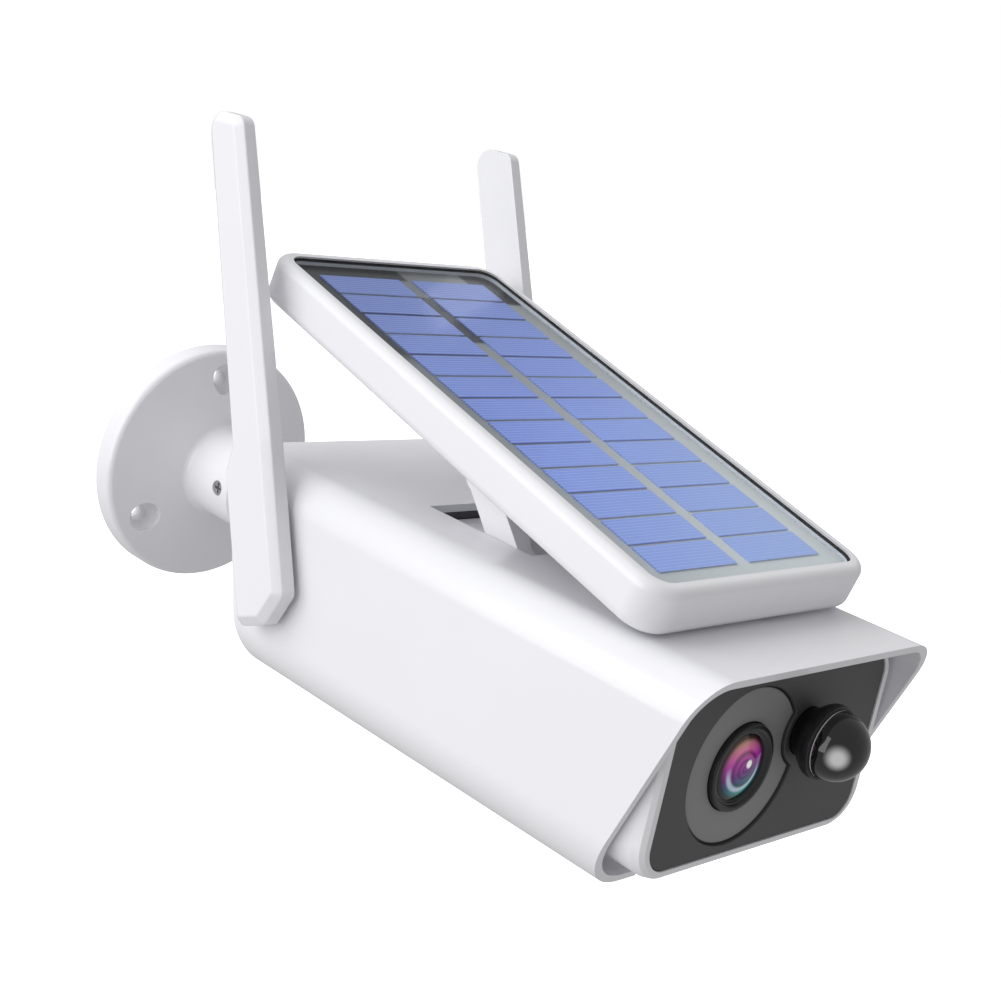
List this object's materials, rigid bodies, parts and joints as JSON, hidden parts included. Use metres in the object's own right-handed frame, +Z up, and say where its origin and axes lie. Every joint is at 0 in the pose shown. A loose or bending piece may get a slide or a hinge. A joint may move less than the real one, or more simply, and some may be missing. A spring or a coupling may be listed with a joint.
{
  "type": "solar-powered security camera",
  "caption": "Hooded security camera on a ball-joint wall base, with fold-down antennas and a tilting solar panel on a hinged stay.",
  "frame": {"origin": "centre of the wall face, where the disc meets the wall", "axes": "+Y into the wall, the camera looks along -Y; +X across the body; +Z up"},
  "size_m": [0.0932, 0.2193, 0.1328],
  "materials": {
    "white_gloss": "glossy moulded white plastic",
    "white_satin": "satin moulded white plastic",
    "dark_plastic": "fine matt charcoal plastic",
    "grey_ring": "matt mid-grey plastic",
    "black_gloss": "polished black plastic",
    "black_satin": "satin black plastic",
    "lens_coated": "coated optical glass",
    "panel_glass": "clear tempered glass",
    "silicon": "blue silicon with fine silver lines",
    "back_sheet": "grey laminate",
    "steel": "bright zinc-plated steel",
    "rubber": "soft black rubber",
    "nylon": "black nylon",
    "board": "green solder mask",
    "cell_wrap": "shrink-wrapped film",
    "tray": "matt dark grey plastic",
    "button": "satin orange plastic",
    "led": "clear epoxy",
    "brass": "gilt can"
  },
  "bodies": {
    "wall_base": {"wall_base": "white_gloss", "clamp_screw": "steel"},
    "ball_cup": {"ball_cup": "nylon"},
    "swivel_ball": {"swivel_ball": "steel"},
    "camera": {"rear_cover": "white_satin", "rear_cover_screws": "steel", "rear_seal": "rubber", "housing": "white_satin", "hood": "white_gloss", "hood_screws": "steel", "front_seal": "rubber", "front_bezel": "white_gloss", "face_plate": "dark_plastic", "lens_ring": "grey_ring", "lens_bezel": "black_satin", "lens_barrel": "black_satin", "lens_glass": "lens_coated", "sensor_board": "board", "image_sensor": "silicon", "pir_collar": "black_gloss", "pir_dome": "black_gloss", "pir_sensor": "steel", "ir_leds": "led", "led_board": "board", "microphone": "brass", "status_light": "led", "speaker": "black_satin", "main_board": "board", "radio_module": "steel", "battery_cells": "cell_wrap", "battery_cradle": "black_satin", "port_plate": "tray", "usb_socket": "steel", "card_slot": "black_satin", "flap_pin": "steel", "antenna_hubs": "white_satin", "antenna_washers": "rubber", "pocket_tray": "tray", "stay_block": "white_gloss"},
    "lock_ring": {"lock_ring": "white_gloss"},
    "port_flap": {"port_flap": "white_satin"},
    "power_button": {"power_button": "button"},
    "reset_button": {"reset_button": "button"},
    "antenna_left": {"antenna_left": "white_gloss"},
    "antenna_right": {"antenna_right": "white_gloss"},
    "stay": {"stay_arm": "white_gloss", "stay_pin": "steel", "panel_pin": "steel"},
    "panel": {"panel_frame": "white_gloss", "panel_back": "white_satin", "panel_back_screws": "steel", "panel_bumpers": "rubber", "back_sheet": "back_sheet", "solar_cells": "silicon", "panel_glass": "panel_glass"}
  },
  "joints": [
    {"name": "camera_pan", "type": "hinge", "parent": "wall_base", "child": "ball_cup", "pos_m": [0, -0.026, 0], "axis": [0, 0, 1], "range_deg": [-25, 25]},
    {"name": "camera_tilt", "type": "hinge", "parent": "ball_cup", "child": "swivel_ball", "pos_m": [0, -0.026, 0], "axis": [1, 0, 0], "range_deg": [-20, 25]},
    {"name": "camera_roll", "type": "hinge", "parent": "swivel_ball", "child": "camera", "pos_m": [0, -0.06, 0], "axis": [0, 1, 0], "range_deg": [-90, 90]},
    {"name": "lock_ring_turn", "type": "hinge", "parent": "swivel_ball", "child": "lock_ring", "pos_m": [0, -0.053, 0], "axis": [0, 1, 0], "range_deg": [-180, 0]},
    {"name": "antenna_left_fold", "type": "hinge", "parent": "camera", "child": "antenna_left", "pos_m": [-0.044, -0.0871, 0.0069], "axis": [1, 0, 0], "range_deg": [-30, 112]},
    {"name": "antenna_right_fold", "type": "hinge", "parent": "camera", "child": "antenna_right", "pos_m": [0.044, -0.0871, 0.0069], "axis": [1, 0, 0], "range_deg": [-30, 112]},
    {"name": "stay_fold", "type": "hinge", "parent": "camera", "child": "stay", "pos_m": [0, -0.1418, 0.0204], "axis": [-1, 0, 0], "range_deg": [0, 20]},
    {"name": "panel_tilt", "type": "hinge", "parent": "stay", "child": "panel", "pos_m": [0, -0.12708, 0.03675], "axis": [1, 0, 0], "range_deg": [-26, 0]},
    {"name": "flap_open", "type": "hinge", "parent": "camera", "child": "port_flap", "pos_m": [0, -0.0938, -0.0207], "axis": [1, 0, 0], "range_deg": [0, 90]},
    {"name": "power_press", "type": "slide", "parent": "camera", "child": "power_button", "axis": [0, 0, 1], "range_m": [0, 0.0006], "stiffness_N_per_m": 400, "springref_m": -0.001},
    {"name": "reset_press", "type": "slide", "parent": "camera", "child": "reset_button", "axis": [0, 0, 1], "range_m": [0, 0.0004], "stiffness_N_per_m": 400, "springref_m": -0.001}
  ]
}
